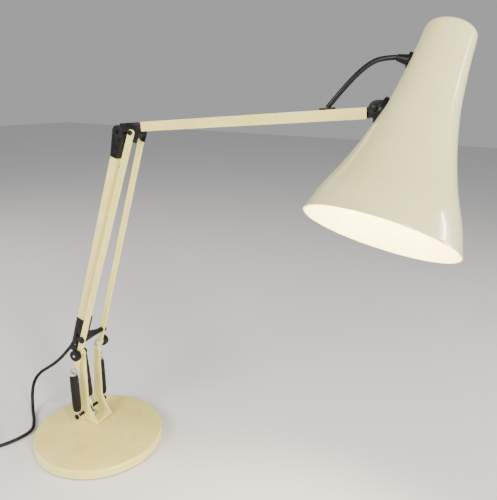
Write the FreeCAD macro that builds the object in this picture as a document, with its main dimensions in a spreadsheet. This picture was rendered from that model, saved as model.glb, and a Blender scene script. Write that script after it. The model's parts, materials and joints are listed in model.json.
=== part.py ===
import FreeCAD, Part
import Sketcher
import math
import os
import re

# Architect desk lamp: a round weighted base, a swivelling fork, a lower arm of two flat bars
# with a rectangular parallel link behind it, a rectangular upper arm and a bell-shaped shade.
# Millimetres, +Z up, origin at the middle of the base's underside, shade towards +X.

Vector = FreeCAD.Vector
Placement = FreeCAD.Placement
Rotation = FreeCAD.Rotation
X_AXIS = Vector(1, 0, 0)
Y_AXIS = Vector(0, 1, 0)

DIMENSIONS = {
    # base
    "base_radius": 100, "base_top": 15.9, "skirt_bottom": 2.0, "cover_sheet": 1.2,
    "cover_edge": 3, "pad_thickness": 2.6, "pad_radius": 95, "weight_radius": 98.2,
    "recess_radius": 11, "recess_depth": 7, "friction_radius": 13, "friction_thickness": 1.5,
    "swivel_offset": -4, "swivel_bolt_radius": 4, "swivel_head_radius": 6,
    "swivel_head_height": 3.6, "swivel_washer_radius": 8, "washer_thickness": 1, "nut_radius": 7.5,
    # fork
    "fork_x": -30.3, "fork_y": 23.2, "plate": 3, "fork_outer": 17.6, "foot_gap": 0.1,
    "foot_front": 21.5, "foot_rear": -13, "pivot_height": 143.4, "fork_tip_radius": 4.8,
    "rod_x": -7.1, "rod_z": 30.7, "rod_radius": 2.7, "rod_half": 33.6, "clip_radius": 4.4,
    "bolt_radius": 3, "bolt_tip": 1.9, "bolt_end": 35.6, "knob_radius": 9, "knob_inner": 26.2,
    "knob_outer": 35, "running_gap": 0.06, "side_gap": 0.3,
    # lower arm
    "lean": 17.93, "arm_length": 362.8, "bar_width": 8.4, "bar_thickness": 3.7,
    "bar_bottom_y": 23.1, "bar_top_y": 12.5, "bar_tail": 30, "tail_pin_radius": 2,
    "spring_y": 30, "spreader_along": 27.1, "spreader_plate": 3, "spreader_boss": 4.2,
    "cap_radius": 5.75, "elbow_bolt_radius": 2.2, "elbow_head_radius": 3.4,
    # bell crank and parallel link
    "crank_along": -8.15, "crank_out": 23.22, "crank_plate": 3, "crank_outer": 14.3,
    "crank_hub_radius": 5, "crank_end_radius": 3.6, "link_pin_radius": 2,
    "spring_pin_x": -17.5, "spring_pin_z": -3.8, "spring_pin_radius": 2,
    "tube_deep": 12, "tube_wide": 20, "tube_wall": 1, "fitting_start": 8, "fitting_end": 57,
    "fitting_wall": 1, "link_tube_start": 20, "link_tube_end": 327, "link_deep": 10.8,
    "link_offset": -1.6, "lug_half_width": 2, "top_radius": 9, "top_half_width": 10.2,
    # upper arm
    "rise": 5.42, "tube_above_elbow": 6.7, "moulding_radius": 8.4, "moulding_half_width": 10.3,
    "fin_depth": 14, "fin_thickness": 3,
    "upper_tube_start": 14.5, "upper_tube_end": 308.8, "grommet_middle": 263,
    "grommet_length": 18, "grommet_width": 9, "grommet_height": 2.2,
    # head
    "head_along": 319.7, "head_above": 9.7, "head_pitch": 29.02, "knuckle_radius": 9.8,
    "knuckle_half_width": 9.8, "knuckle_face": 1, "tilt_pin_back": 3.5, "tilt_pin_radius": 1.6,
    "tongue_radius": 3.2, "tongue_half_width": 3.6, "disc_radius": 15, "disc_thickness": 1.2,
    "stud_radius": 2.5, "shade_gap": 4.2, "shade_turn": -27.5, "shade_flare": 12.7,
    # shade, lampholder and bulb
    "shade_length": 228.9, "shade_wall": 0.8, "foot_height": 126.2,
    "foot_radius": 39.1, "gland_height": 187, "gland_length": 14, "gland_radius": 5.8,
    "gland_face": 30, "gland_flange_radius": 8.6, "gland_flange": 2.6, "cord_end_gap": 1.1,
    "holder_radius": 19.5, "holder_bottom": 165.5, "cap_bottom": 165, "cap_top": 189,
    "bulb_cap_radius": 13.2, "bulb_radius": 30, "bulb_middle": 113, "glass": 0.8,
    "switch_bottom": 207, "button_radius": 6.1, "button_proud": 4.6,
    # springs and cords
    "spring_radius": 5.6, "sleeve_radius": 6.9, "wire_radius": 0.8, "cord_radius": 2.7,
    "relief_length": 20, "relief_root": 4.25, "relief_tip": 3.2, "relief_x": 10.9, "relief_z": 4.2,
    "relief_rise": 67.9, "coil_middle_radius": 35.8, "coil_half_width": 11.4, "coil_height": 15.5,
    "coil_x": -179, "coil_y": -113.5, "tail_radius": 44.5, "tail_length": 36, "tail_at": 200,
    "plug_wide": 35.3, "plug_thick": 13.7, "plug_long": 36, "plug_neck_long": 22,
    "plug_neck_wide": 19.3, "plug_pin_radius": 2, "plug_pin_length": 19,
    "plug_pin_half_pitch": 9.3,
}
SHADE_OUTLINE = ((0, 82), (27.5, 73.2), (64, 57.7), (103, 45), (142, 36), (183, 30.5), (223.9, 27.2))
TOP_EDGE_RADIUS = 5

doc = FreeCAD.newDocument("desk_lamp")
sheet = doc.addObject("Spreadsheet::Sheet", "dims")
for row, (alias, value) in enumerate(DIMENSIONS.items(), 1):
    sheet.set(f"A{row}", alias)
    sheet.set(f"B{row}", str(value))
    sheet.setAlias(f"B{row}", alias)
doc.recompute()

NODES = []
TURN_TO = {"x": Rotation(Y_AXIS, 90), "y": Rotation(X_AXIS, -90), "z": Rotation()}


def in_sheet(text):
    """Point every alias in an expression at the spreadsheet."""
    swap = lambda word: "dims." + word[0] if word[0] in DIMENSIONS else word[0]
    return re.sub(r"[a-z][a-z_]*", swap, str(text))


def number(text):
    """The value of an expression over the sheet's aliases."""
    return float(sheet.evalExpression(in_sheet(text)))


def bind(thing, **expressions):
    for name, text in expressions.items():
        thing.setExpression(name, in_sheet(text))


def bind_base(thing, x, y, z):
    for letter, text in zip("xyz", (x, y, z)):
        thing.setExpression("Placement.Base." + letter, in_sheet(text))


# frames of the moving bodies, each in the frame of the one before it
BASE = Placement()
FORK = Placement(Vector(number("fork_x"), number("fork_y"), 0), Rotation())
PIVOT = FORK * Placement(Vector(0, 0, number("pivot_height")), Rotation())
LOWER = PIVOT * Placement(Vector(), Rotation(Y_AXIS, number("lean - 90")))
LINK = LOWER * Placement(Vector(number("crank_along"), 0, number("crank_out")), Rotation())
UPPER = LOWER * Placement(Vector(number("arm_length"), 0, 0),
                          Rotation(Y_AXIS, number("90 - lean - rise")))
HEAD = UPPER * Placement(Vector(number("head_along"), 0, number("head_above")),
                         Rotation(Y_AXIS, number("head_pitch")))
SWIVEL = HEAD * Placement(Vector(number("shade_gap"), 0, 0),
                          Rotation(X_AXIS, number("shade_turn")))
SHADE = (SWIVEL * Placement(Vector(), Rotation(Y_AXIS, -number("shade_flare")))
         * Placement(Vector(number("foot_radius"), 0, -number("foot_height")), Rotation()))
# the parallel link's top joint, seen from the elbow
LINK_TOP = UPPER.inverse() * LINK * Vector(number("arm_length"), 0, 0)
# the pin that the head tilts on, seen from the elbow
TILT_PIN = UPPER.inverse() * HEAD * Vector(-number("tilt_pin_back"), 0, 0)


def node(name, piece, frame):
    """Name a sub-part and carry it into its body's frame."""
    piece.Placement = frame * piece.Placement
    piece.Label = name
    NODES.append(piece)
    return piece


def rod(axis, radius, start, end, across=(0, 0)):
    """A cylinder along x, y or z; across is its place on the other two axes."""
    piece = doc.addObject("Part::Cylinder", "rod")
    piece.Placement = Placement(Vector(), TURN_TO[axis])
    spot = list(across)
    spot.insert("xyz".index(axis), start)
    bind(piece, Radius=radius, Height=f"({end}) - ({start})")
    bind_base(piece, *spot)
    return piece


def block(x_from, x_to, y_from, y_to, z_from, z_to):
    piece = doc.addObject("Part::Box", "block")
    bind(piece, Length=f"({x_to}) - ({x_from})", Width=f"({y_to}) - ({y_from})",
         Height=f"({z_to}) - ({z_from})")
    bind_base(piece, x_from, y_from, z_from)
    return piece


def fuse(*pieces):
    whole = doc.addObject("Part::MultiFuse", "fuse")
    whole.Shapes = pieces
    return whole


def cut(base, *tools):
    left = doc.addObject("Part::Cut", "cut")
    left.Base = base
    left.Tool = fuse(*tools) if len(tools) > 1 else tools[0]
    return left


def common(first, second):
    shared = doc.addObject("Part::Common", "common")
    shared.Base = first
    shared.Tool = second
    return shared


def group(*pieces):
    """Several like solids that share one node."""
    whole = doc.addObject("Part::Compound", "group")
    whole.Links = pieces
    return whole


def ring(axis, inner, outer, start, end, across=(0, 0)):
    return cut(rod(axis, outer, start, end, across), rod(axis, inner, start, end, across))


def outline_sketch(body, points):
    """A closed outline on the body's XZ plane, every corner held by two bound distances."""
    plane = [item for item in body.Origin.OriginFeatures if item.Role == "XZ_Plane"][0]
    sketch = body.newObject("Sketcher::SketchObject", "outline")
    sketch.AttachmentSupport = [(plane, "")]
    sketch.MapMode = "FlatFace"
    corners = [Vector(number(x), number(z), 0) for x, z in points]
    for index, corner in enumerate(corners):
        following = corners[(index + 1) % len(corners)]
        sketch.addGeometry(Part.LineSegment(corner, following), False)
    for index, (x, z) in enumerate(points):
        following = (index + 1) % len(points)
        sketch.addConstraint(Sketcher.Constraint("Coincident", index, 2, following, 1))
        for kind, text in (("DistanceX", x), ("DistanceY", z)):
            rule = Sketcher.Constraint(kind, -1, 1, index, 1, number(text))
            sketch.setExpression(f"Constraints[{sketch.addConstraint(rule)}]", in_sheet(text))
    return sketch


def turned(points, axis="z", middle=(0, 0, 0)):
    """A solid of revolution: points are (radius, height) along the given axis."""
    body = doc.addObject("PartDesign::Body", "turned")
    spin = body.newObject("PartDesign::Revolution", "spin")
    spin.Profile = outline_sketch(body, points)
    spin.ReferenceAxis = (spin.Profile[0], ["V_Axis"])
    spin.Angle = 360
    body.Tip = spin
    body.Placement = Placement(Vector(*(number(text) for text in middle)), TURN_TO[axis])
    return body


def plate(points, thickness, middle_y="0"):
    """A flat plate in the XZ plane, its thickness along Y."""
    body = doc.addObject("PartDesign::Body", "plate")
    pad = body.newObject("PartDesign::Pad", "pad")
    pad.Profile = outline_sketch(body, points)
    pad.Midplane = True
    bind(pad, Length=thickness)
    body.Tip = pad
    body.Placement = Placement(Vector(0, number(middle_y), 0), Rotation())
    return body


def solid_feature(shape, name="shape"):
    feature = doc.addObject("Part::Feature", name)
    feature.Shape = shape
    return feature


# ---- base ---------------------------------------------------------------------------------

def make_base():
    swivel_x = "fork_x + swivel_offset"
    swivel = (swivel_x, "fork_y")
    cover = turned([
        ("0", "base_top"), ("base_radius - cover_edge", "base_top"),
        ("base_radius - cover_edge * 0.29", "base_top - cover_edge * 0.29"),
        ("base_radius", "base_top - cover_edge"), ("base_radius", "skirt_bottom"),
        ("base_radius - cover_sheet", "skirt_bottom"),
        ("base_radius - cover_sheet", "base_top - cover_edge"),
        ("base_radius - cover_edge", "base_top - cover_sheet"), ("0", "base_top - cover_sheet")])
    node("base_cover", cut(cover, rod("z", "swivel_bolt_radius + 0.1", "0", "base_top + 1", swivel)),
         BASE)
    weight = turned([
        ("0", "pad_thickness"), ("weight_radius", "pad_thickness"),
        ("weight_radius", "base_top - cover_edge - 1"),
        ("weight_radius - cover_edge", "base_top - cover_sheet"), ("0", "base_top - cover_sheet")])
    node("base_weight", cut(weight,
         rod("z", "swivel_bolt_radius + 0.1", "0", "base_top", swivel),
         rod("z", "recess_radius", "0", "pad_thickness + recess_depth", swivel)), BASE)
    node("base_pad", turned([("0", "0"), ("pad_radius", "0"), ("pad_radius", "pad_thickness"),
                             ("0", "pad_thickness")]), BASE)
    foot_top = "base_top + friction_thickness + foot_gap + plate"
    washer_bottom = foot_top + " + foot_gap"
    head_bottom = washer_bottom + " + washer_thickness"
    nut_top = "pad_thickness + recess_depth"
    place = (swivel_x, "fork_y", "0")
    node("friction_washer", cut(
        turned([("0", "base_top"), ("friction_radius", "base_top"),
                ("friction_radius", "base_top + friction_thickness"),
                ("0", "base_top + friction_thickness")], middle=place),
        rod("z", "swivel_bolt_radius", "0", "30", swivel)), BASE)
    node("swivel_washer", cut(
        turned([("0", washer_bottom), ("swivel_washer_radius", washer_bottom),
                ("swivel_washer_radius", head_bottom), ("0", head_bottom)], middle=place),
        rod("z", "swivel_bolt_radius", "0", "30", swivel)), BASE)
    node("swivel_bolt", turned([
        ("0", nut_top + " - 6.5"), ("swivel_bolt_radius", nut_top + " - 6.5"),
        ("swivel_bolt_radius", head_bottom), ("swivel_head_radius", head_bottom),
        ("swivel_head_radius", head_bottom + " + swivel_head_height * 0.5"),
        ("swivel_head_radius * 0.7", head_bottom + " + swivel_head_height"),
        ("0", head_bottom + " + swivel_head_height")], middle=place), BASE)
    hexagon = doc.addObject("Part::Prism", "hexagon")
    hexagon.Polygon = 6
    bind(hexagon, Circumradius="nut_radius", Height="6.5")
    bind_base(hexagon, swivel_x, "fork_y", nut_top + " - 6.5")
    node("swivel_nut", cut(hexagon, rod("z", "swivel_bolt_radius", "0", "30", swivel)), BASE)


# ---- fork ---------------------------------------------------------------------------------

def make_fork():
    foot_bottom = "base_top + friction_thickness + foot_gap"
    foot_top = foot_bottom + " + plate"
    shape = plate([
        ("foot_rear", foot_bottom), ("foot_front", foot_bottom), ("foot_front", foot_top),
        ("foot_front - 5.5", foot_top + " + 5"), ("foot_front - 9.5", foot_top + " + 13"),
        ("foot_front - 14.5", foot_top + " + 21"), ("fork_tip_radius - 0.5", "50"),
        ("fork_tip_radius", "pivot_height"), ("-fork_tip_radius", "pivot_height"),
        ("-7.5", "107"), ("-9.5", "82"), ("-12.5", "50")], "fork_outer * 2")
    tip = rod("y", "fork_tip_radius", "-fork_outer", "fork_outer", ("0", "pivot_height"))
    inside = block("-40", "40", "plate - fork_outer", "fork_outer - plate", foot_top, "200")
    node("fork_bracket", cut(
        fuse(shape, tip), inside,
        rod("y", "bolt_radius", "-40", "40", ("0", "pivot_height")),
        rod("y", "rod_radius", "-40", "40", ("rod_x", "rod_z")),
        rod("z", "swivel_bolt_radius + running_gap", "0", "30", ("swivel_offset", "0"))), FORK)
    node("spring_anchor_rod", turned([
        ("0", "-rod_half"), ("rod_radius", "-rod_half"), ("rod_radius", "rod_half"),
        ("0", "rod_half")], "y", ("rod_x", "0", "rod_z")), FORK)
    node("rod_clips", group(
        ring("y", "rod_radius", "clip_radius", "rod_half - 1.4", "rod_half - 0.4", ("rod_x", "rod_z")),
        ring("y", "rod_radius", "clip_radius", "0.4 - rod_half", "1.4 - rod_half",
             ("rod_x", "rod_z"))), FORK)
    shoulder = "knob_outer - 1.2"
    # the near bolt also carries the bell crank, inside the fork
    near_head = "plate - fork_outer + crank_plate + side_gap * 2"
    node("near_pivot_bolt", turned([
        ("0", "-bolt_end"), ("bolt_tip", "-bolt_end"), ("bolt_tip", f"-({shoulder})"),
        ("bolt_radius", f"-({shoulder})"), ("bolt_radius", near_head),
        ("bolt_radius * 1.4", near_head), ("bolt_radius * 1.4", near_head + " + 1.1"),
        ("0", near_head + " + 1.1")], "y"), PIVOT)
    far_head = "fork_outer - plate"
    node("far_pivot_bolt", turned([
        ("0", far_head + " - 1"), ("4", far_head + " - 1"), ("4", far_head),
        ("bolt_radius", far_head), ("bolt_radius", shoulder), ("bolt_tip", shoulder),
        ("bolt_tip", "bolt_end"), ("0", "bolt_end")], "y"), PIVOT)
    bar_inner = "bar_bottom_y - bar_thickness / 2"
    bar_outer = "bar_bottom_y + bar_thickness / 2"
    node("pivot_washers", group(
        ring("y", "bolt_radius", "6", "fork_outer", bar_inner + " - side_gap"),
        ring("y", "bolt_radius", "6", f"side_gap - ({bar_inner})", "-fork_outer"),
        ring("y", "bolt_radius", "5.5", bar_outer + " + side_gap", "knob_inner - 0.1"),
        ring("y", "bolt_radius", "5.5", "0.1 - knob_inner", f"-side_gap - ({bar_outer})")), PIVOT)
    for name, side in (("near_knob", -1), ("far_knob", 1)):
        node(name, turned([
            ("bolt_radius + running_gap", f"{side} * knob_inner"),
            ("knob_radius * 0.8", f"{side} * knob_inner"),
            ("knob_radius", f"{side} * (knob_inner + 1.5)"),
            ("knob_radius", f"{side} * (knob_outer - 1)"),
            ("knob_radius - 1", f"{side} * knob_outer"),
            ("bolt_tip + running_gap", f"{side} * knob_outer"),
            ("bolt_tip + running_gap", f"{side} * ({shoulder} + 0.1)"),
            ("bolt_radius + running_gap", f"{side} * ({shoulder} + 0.1)")], "y"), PIVOT)


# ---- lower arm ----------------------------------------------------------------------------

def make_bar(name, side):
    """A flat bar that comes 1.7 degrees nearer its fellow towards the elbow."""
    width = "bar_width / 2"
    half = "bar_thickness / 2"
    toe = math.degrees(math.atan2(number("bar_bottom_y - bar_top_y"), number("arm_length")))
    bar = fuse(block("-bar_tail", "arm_length", "-" + half, half, "-" + width, width),
               rod("y", width, "-" + half, half, ("-bar_tail", "0")),
               rod("y", width, "-" + half, half, ("arm_length", "0")))
    bar.Placement = Placement(Vector(0, side * number("bar_bottom_y"), 0),
                              Rotation(Vector(0, 0, 1), -side * toe))
    node(name, cut(
        bar, rod("y", "bolt_radius + running_gap", "-60", "60"),
        rod("y", "elbow_bolt_radius", "-60", "60", ("arm_length", "0")),
        rod("y", "tail_pin_radius", "-60", "60", ("-bar_tail", "0")),
        rod("y", "2.5", "-60", "60", ("spreader_along", "0"))), LOWER)


def bar_face(along, outward):
    """Distance from the arm's middle to a bar's outer (+1) or inner (-1) face."""
    lean_in = f"(bar_bottom_y - bar_top_y) * ({along}) / arm_length"
    return f"bar_bottom_y - {lean_in} + {outward} * bar_thickness / 2"


def make_lower_arm():
    make_bar("near_bar", -1)
    make_bar("far_bar", 1)
    inner = number(bar_face("spreader_along", -1)) - 0.25
    outer = number(bar_face("spreader_along", 1)) + 0.15
    middle = number("spreader_along")
    # a cross plate, deep at the near bar and shallow at the far one
    corners = [(middle - 7.5, -inner), (middle + 14, -inner), (middle + 4.6, inner * 0.5),
               (middle + 4, inner), (middle - 4, inner), (middle - 4.6, inner * 0.5)]
    face = Part.Face(Part.makePolygon([Vector(x, y, 0) for x, y in corners + corners[:1]]))
    web = face.extrude(Vector(0, 0, number("spreader_plate")))
    web.translate(Vector(0, 0, -number("spreader_plate / 2")))
    stub = Part.makeCylinder(2.5, 2 * outer, Vector(middle, -outer, 0), Y_AXIS)
    boss = Part.makeCylinder(number("spreader_boss"), 2 * inner, Vector(middle, -inner, 0), Y_AXIS)
    node("arm_spreader", solid_feature(web.fuse([stub, boss]).removeSplitter(), "spreader"), LOWER)
    caps = [turned([("0", str(side * outer)), ("cap_radius", str(side * outer)),
                    ("cap_radius", str(side * (outer + 1.6))),
                    ("cap_radius - 1.4", str(side * (outer + 2.6))),
                    ("0", str(side * (outer + 2.6)))], "y", ("spreader_along", "0", "0"))
            for side in (-1, 1)]
    node("spreader_caps", group(*caps), LOWER)
    pins = []
    for side in (-1, 1):
        inside = number(bar_face("-bar_tail", -1))
        pins.append(turned([
            ("0", str(side * inside)), ("tail_pin_radius", str(side * inside)),
            ("tail_pin_radius", f"{side} * 32"), ("tail_pin_radius + 1.4", f"{side} * 32"),
            ("tail_pin_radius + 1.4", f"{side} * 33.2"), ("0", f"{side} * 33.2")], "y",
            ("-bar_tail", "0", "0")))
    node("tail_pins", group(*pins), LOWER)
    end = number(bar_face("arm_length", 1)) + 0.15
    node("elbow_bolt", turned([
        ("0", str(-end - 2)), ("elbow_head_radius", str(-end - 2)), ("elbow_head_radius", str(-end)),
        ("elbow_bolt_radius", str(-end)), ("elbow_bolt_radius", str(end)),
        ("elbow_head_radius", str(end)), ("elbow_head_radius", str(end + 2)), ("0", str(end + 2))],
        "y", ("arm_length", "0", "0")), LOWER)


# ---- springs ------------------------------------------------------------------------------

def make_spring(name, top, bottom, y, sleeve_from, sleeve_to, radius):
    """A tension spring between two pins, seen as a plain cylinder, and the sleeve over it."""
    start = Vector(bottom[0], y, bottom[1])
    run = Vector(top[0], y, top[1]) - start
    length = run.Length
    turn = Placement(start, Rotation(Vector(0, 0, 1), run))
    wire = number("wire_radius")
    coil = number(radius)
    body = Part.makeCylinder(coil, sleeve_to - sleeve_from + 8, Vector(0, 0, sleeve_from - 4))
    hook = Part.makeCylinder(wire, length - 7, Vector(0, 0, 3.5))
    spring = solid_feature(body.fuse(hook).removeSplitter(), "spring")
    node(name + "_spring", spring, FORK * turn)
    sleeve = Part.makeCylinder(number("sleeve_radius"), sleeve_to - sleeve_from,
                               Vector(0, 0, sleeve_from))
    hole = Part.makeCylinder(coil, sleeve_to - sleeve_from, Vector(0, 0, sleeve_from))
    node(name + "_sleeve", solid_feature(sleeve.cut(hole), "sleeve"), FORK * turn)


def make_springs():
    tail = FORK.inverse() * LOWER * Vector(-number("bar_tail"), 0, 0)
    rod_at = (number("rod_x"), number("rod_z"))
    for name, side in (("near", -1), ("far", 1)):
        make_spring(name, (tail.x, tail.z), rod_at, side * number("spring_y"), 11.5, 75.5,
                    "spring_radius")
    pin = (number("spring_pin_x"), number("pivot_height + spring_pin_z"))
    make_spring("centre", pin, rod_at, 0, 24, 98, "spring_radius")


# ---- bell crank and parallel link ---------------------------------------------------------

def make_bell_crank():
    """The short arm that holds the parallel link's foot, on the near bolt."""
    knee = PIVOT.inverse() * LINK * Vector()
    inner = "crank_plate - crank_outer"
    outer = "-crank_outer"
    arm = plate([("0", "crank_hub_radius"), (str(knee.x), "crank_end_radius - 0.6"),
                 (str(knee.x), "-crank_end_radius - 0.6"), ("spring_pin_x", "spring_pin_z - 3.4"),
                 ("0", "-crank_hub_radius")], "crank_plate", "crank_plate / 2 - crank_outer")
    node("bell_crank", cut(
        fuse(arm, rod("y", "crank_hub_radius", outer, inner),
             rod("y", "crank_end_radius", outer, inner, (str(knee.x), str(knee.z)))),
        rod("y", "bolt_radius + running_gap", "-40", "40"),
        rod("y", "link_pin_radius", "-40", "40", (str(knee.x), str(knee.z))),
        rod("y", "spring_pin_radius", "-40", "40", ("spring_pin_x", "spring_pin_z"))), PIVOT)
    link_pin = turned([
        ("0", outer), ("link_pin_radius", outer), ("link_pin_radius", "2.4"),
        ("link_pin_radius + 1.3", "2.4"), ("link_pin_radius + 1.3", "3.6"), ("0", "3.6")],
        "y", (str(knee.x), "0", str(knee.z)))
    spring_pin = turned([
        ("0", outer), ("spring_pin_radius", outer), ("spring_pin_radius", "2"),
        ("spring_pin_radius + 0.5", "2"), ("spring_pin_radius + 0.5", "3"), ("0", "3")],
        "y", ("spring_pin_x", "0", "spring_pin_z"))
    node("crank_pins", group(link_pin, spring_pin), PIVOT)


def rectangular_tube(start, end, middle, depth):
    deep = f"{depth} / 2"
    wide = "tube_wide / 2"
    return cut(
        block(start, end, "-" + wide, wide, f"{middle} - {deep}", f"{middle} + {deep}"),
        block(start, end, f"tube_wall - {wide}", f"{wide} - tube_wall",
              f"{middle} - {deep} + tube_wall", f"{middle} + {deep} - tube_wall"))


def make_link():
    """The tube between the crank and the upper arm; it stands a little forward of its pivots."""
    wide = "(tube_wide / 2)"
    front = "(link_offset - link_deep / 2)"
    rear = "(link_offset + link_deep / 2)"
    front_out = f"({front} - fitting_wall)"
    rear_out = f"({rear} + fitting_wall)"
    out_wide = f"({wide} + fitting_wall)"
    rivet_at = "link_tube_end - 13"
    rivet = ("z", "1.5", front + " - 0.4", front + " + 4", (rivet_at, "0"))
    node("rear_tube", cut(rectangular_tube("link_tube_start", "link_tube_end", "link_offset",
                                           "link_deep"), rod(*rivet)), LINK)
    relief_turn = Placement(Vector(number("relief_x"), 0, number("relief_z")),
                            Rotation(Y_AXIS, -number("relief_rise")))
    length = number("relief_length")
    cone = Part.makeCone(number("relief_root"), number("relief_tip"), length)
    relief = solid_feature(cone.cut(Part.makeCylinder(number("cord_radius"), length)), "relief")
    relief.Placement = relief_turn
    relief_room = solid_feature(cone, "relief_room")
    relief_room.Placement = relief_turn
    lug = "lug_half_width"
    cup = fuse(
        block("fitting_start", "fitting_end", "-" + out_wide, out_wide, front_out, rear_out),
        block("-1", "fitting_start + 1", "-" + lug, lug, "-2.8", "2.8"),
        rod("y", "crank_end_radius", "-" + lug, lug))
    node("lower_fitting", cut(
        cup, block("link_tube_start", "fitting_end + 1", "-" + wide, wide, front, rear),
        block("fitting_start + 4", "link_tube_start + 1", "-8", "8", front + " + 1.5",
              rear + " - 1.5"),
        rod("y", "link_pin_radius + running_gap", "-10", "10"), relief_room,
        rod("y", "2", "-20", "-5", ("fitting_start + 16", "link_offset"))), LINK)
    node("strain_relief", relief, LINK)
    slot = "3.1"
    cheeks = plate([("link_tube_end", front), ("link_tube_end", rear), ("arm_length", "top_radius"),
                    ("arm_length", "-top_radius")], "top_half_width * 2")
    spigot = cut(
        block("link_tube_end - 15", "link_tube_end", "tube_wall - " + wide, wide + " - tube_wall",
              front + " + tube_wall", rear + " - tube_wall"),
        block("link_tube_end - 15", "link_tube_end", "2.5 - " + wide, wide + " - 2.5",
              front + " + 2.5", rear + " - 2.5"))
    node("upper_fitting", cut(
        fuse(cheeks, rod("y", "top_radius", "-top_half_width", "top_half_width",
                         ("arm_length", "0")), spigot),
        block("arm_length - 14", "arm_length + 20", "-" + slot, slot, "-20", "20"),
        rod("y", "2.5 + side_gap", "-20", "20", ("arm_length", "0")),
        rod("y", "1.7", "-20", "-5", ("link_tube_end + 8", "link_offset")), rod(*rivet)), LINK)
    node("link_screws", group(
        turned([("0", "-13"), ("3", "-13"), ("3", f"-{out_wide}"), ("2", f"-{out_wide}"),
                ("2", "-" + wide), ("0", "-" + wide)], "y",
               ("fitting_start + 16", "0", "link_offset")),
        turned([("0", "-top_half_width - 0.2"), ("1.7", "-top_half_width - 0.2"), ("1.7", "-5"),
                ("0", "-5")], "y", ("link_tube_end + 8", "0", "link_offset")),
        rod(*rivet)), LINK)
    node("inner_cord_lower", turned([
        ("0", "22"), ("cord_radius", "22"), ("cord_radius", "link_tube_end - 16"),
        ("0", "link_tube_end - 16")], "x", ("0", "0", "link_offset")), LINK)


# ---- upper arm ----------------------------------------------------------------------------

def make_upper_arm():
    half = "moulding_half_width"
    deep = "(tube_deep / 2)"
    wide = "(tube_wide / 2)"
    low = f"tube_above_elbow - {deep}"
    high = f"tube_above_elbow + {deep}"
    joint = (str(LINK_TOP.x), str(LINK_TOP.z))
    head = fuse(rod("y", "moulding_radius", "-" + half, half),
                block("-19", "upper_tube_start", "-" + half, half, low, high))
    around = rod("y", "top_radius + side_gap * 2", "-20", "20", joint)
    lug = fuse(rod("y", "5.2", "-2.7", "2.7", joint),
               block(joint[0], "-8", "-2.7", "2.7", f"{joint[1]} - 4.6", f"{joint[1]} + 4.6"))
    spigot = block("upper_tube_start", "upper_tube_start + 20", "tube_wall - " + wide,
                   wide + " - tube_wall", low + " + tube_wall", high + " - tube_wall")
    thick = "fin_thickness"
    fins = [plate([("-6", "-5.5"), ("8", "-1.5"), ("7.4", "-5"), ("3", "-fin_depth"),
                   ("-1.5", "-fin_depth + 2")], thick, f"{side} * (moulding_half_width - {thick} / 2)")
            for side in (-1, 1)]
    node("elbow_moulding", cut(
        fuse(cut(head, around), lug, spigot, *fins),
        rod("y", "elbow_bolt_radius + running_gap", "-20", "20"),
        rod("y", "2.5", "-20", "20", joint)), UPPER)
    node("top_link_pin", turned([
        ("0", "1.4 - top_half_width"), ("2.5", "1.4 - top_half_width"),
        ("2.5", "top_half_width - 1.4"), ("0", "top_half_width - 1.4")], "y",
        (joint[0], "0", joint[1])), UPPER)
    hole = ("grommet_middle", "0")
    node("upper_tube", cut(
        rectangular_tube("upper_tube_start", "upper_tube_end", "tube_above_elbow", "tube_deep"),
        rod("z", "grommet_width / 2 - 1", "5", "20", hole)), UPPER)
    reach = "(grommet_length - grommet_width) / 2"
    ends = [rod("z", "grommet_width / 2", high, high + " + grommet_height",
                (f"grommet_middle + {side} * {reach}", "0")) for side in (-1, 1)]
    middle = block("grommet_middle - " + reach, "grommet_middle + " + reach,
                   "-grommet_width / 2", "grommet_width / 2", high, high + " + grommet_height")
    neck = rod("z", "grommet_width / 2 - 1", high + " - tube_wall", high, hole)
    node("cord_grommet", cut(fuse(*ends, middle, neck), rod("z", "2.75", "0", "30", hole)), UPPER)
    node("inner_cord_upper", turned([
        ("0", "upper_tube_start + 22"), ("cord_radius", "upper_tube_start + 22"),
        ("cord_radius", "grommet_middle"), ("0", "grommet_middle")], "x",
        ("0", "0", "tube_above_elbow - 1")), UPPER)
    pin = (str(TILT_PIN.x), str(TILT_PIN.z))
    plug = block("upper_tube_end - 22", "upper_tube_end", "tube_wall - " + wide,
                 wide + " - tube_wall", low + " + tube_wall", high + " - tube_wall")
    tongue = block("upper_tube_end - 6", pin[0], "-tongue_half_width", "tongue_half_width",
                   pin[1] + " - tongue_radius", high + " - tube_wall")
    node("arm_end_plug", cut(
        fuse(plug, tongue, rod("y", "tongue_radius", "-tongue_half_width", "tongue_half_width", pin)),
        rod("y", "tilt_pin_radius + running_gap", "-20", "20", pin)), UPPER)


# ---- head ---------------------------------------------------------------------------------

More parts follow.
